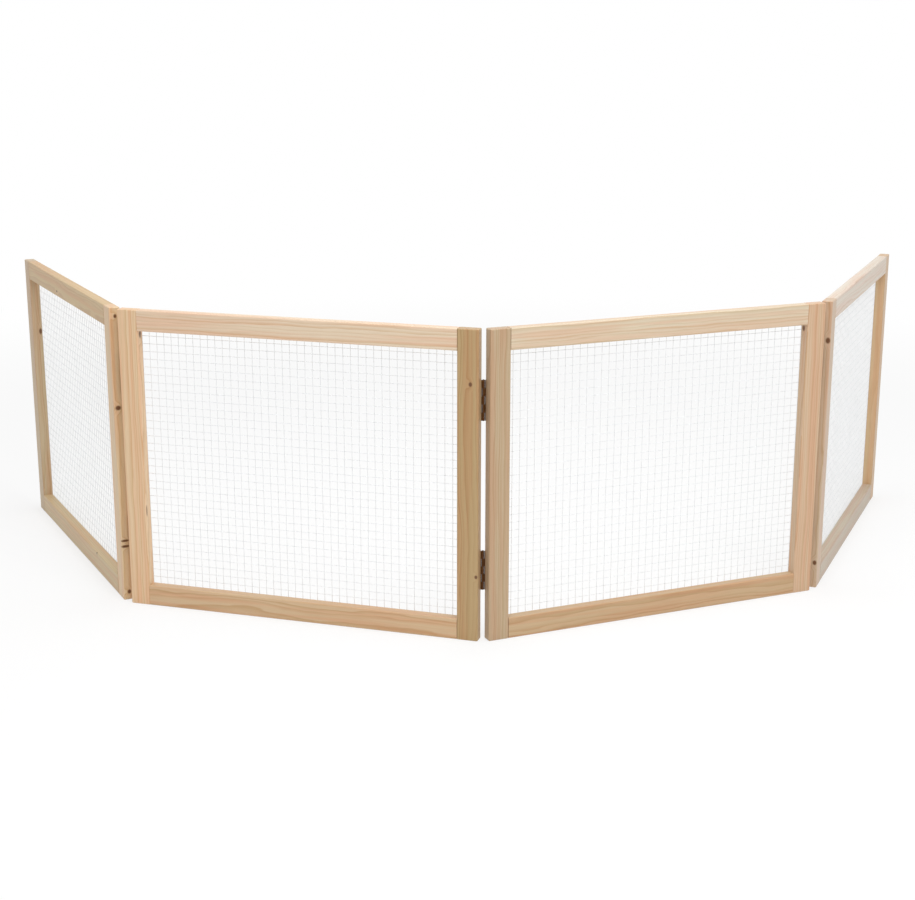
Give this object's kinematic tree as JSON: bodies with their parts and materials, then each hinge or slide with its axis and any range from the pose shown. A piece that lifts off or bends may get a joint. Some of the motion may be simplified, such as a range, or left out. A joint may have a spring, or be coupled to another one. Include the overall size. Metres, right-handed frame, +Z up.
{
  "type": "indoor rabbit run",
  "caption": "Folding pet run of hinged timber-framed wire mesh panels that stand in a bow on the floor to pen in a small animal.",
  "frame": {"origin": "on the floor, under the centre of the box around the run as it stands", "axes": "+X along the run from panel 1 to panel 4, +Y from the front of the bow towards the inside of the pen, +Z up"},
  "size_m": [1.6752, 0.776, 0.495],
  "materials": {
    "pine": "planed, bare, with eased edges",
    "beech": "turned",
    "galvanised_wire": "zinc-coated, dull",
    "zinc_plate": "bright zinc plate",
    "bronzed_steel": "dark bronzed"
  },
  "bodies": {
    "panel_1": {"panel_1_left_stile": "pine", "panel_1_right_stile": "pine", "panel_1_bottom_rail": "pine", "panel_1_top_rail": "pine", "panel_1_wire_mesh": "galvanised_wire", "panel_1_staples": "galvanised_wire", "panel_1_dowels": "beech", "panel_1_hinge_screws": "zinc_plate", "left_upper_hinge_left_leaf": "bronzed_steel", "left_lower_hinge_left_leaf": "bronzed_steel"},
    "panel_2": {"panel_2_left_stile": "pine", "panel_2_right_stile": "pine", "panel_2_bottom_rail": "pine", "panel_2_top_rail": "pine", "panel_2_wire_mesh": "galvanised_wire", "panel_2_staples": "galvanised_wire", "panel_2_dowels": "beech", "panel_2_hinge_screws": "zinc_plate", "left_upper_hinge_right_leaf": "bronzed_steel", "left_upper_hinge_pin": "bronzed_steel", "left_lower_hinge_right_leaf": "bronzed_steel", "left_lower_hinge_pin": "bronzed_steel", "middle_upper_hinge_left_leaf": "bronzed_steel", "middle_upper_hinge_pin": "bronzed_steel", "middle_lower_hinge_left_leaf": "bronzed_steel", "middle_lower_hinge_pin": "bronzed_steel"},
    "panel_3": {"panel_3_left_stile": "pine", "panel_3_right_stile": "pine", "panel_3_bottom_rail": "pine", "panel_3_top_rail": "pine", "panel_3_wire_mesh": "galvanised_wire", "panel_3_staples": "galvanised_wire", "panel_3_dowels": "beech", "panel_3_hinge_screws": "zinc_plate", "middle_upper_hinge_right_leaf": "bronzed_steel", "middle_lower_hinge_right_leaf": "bronzed_steel", "right_upper_hinge_left_leaf": "bronzed_steel", "right_upper_hinge_pin": "bronzed_steel", "right_lower_hinge_left_leaf": "bronzed_steel", "right_lower_hinge_pin": "bronzed_steel"},
    "panel_4": {"panel_4_left_stile": "pine", "panel_4_right_stile": "pine", "panel_4_bottom_rail": "pine", "panel_4_top_rail": "pine", "panel_4_wire_mesh": "galvanised_wire", "panel_4_staples": "galvanised_wire", "panel_4_dowels": "beech", "panel_4_hinge_screws": "zinc_plate", "right_upper_hinge_right_leaf": "bronzed_steel", "right_lower_hinge_right_leaf": "bronzed_steel"}
  },
  "joints": [
    {"name": "left_hinge", "type": "hinge", "parent": "panel_2", "child": "panel_1", "pos_m": [-0.57819, -0.16213, 0], "axis": [0, 0, -1], "range_deg": [-58.2, 43.8]},
    {"name": "middle_hinge", "type": "hinge", "parent": "panel_2", "child": "panel_3", "pos_m": [-0.01078, -0.37034, 0], "axis": [0, 0, 1], "range_deg": [-52.3, 49.7]},
    {"name": "right_hinge", "type": "hinge", "parent": "panel_3", "child": "panel_4", "pos_m": [0.55663, -0.16213, 0], "axis": [0, 0, 1], "range_deg": [-55.9, 46.1]}
  ]
}
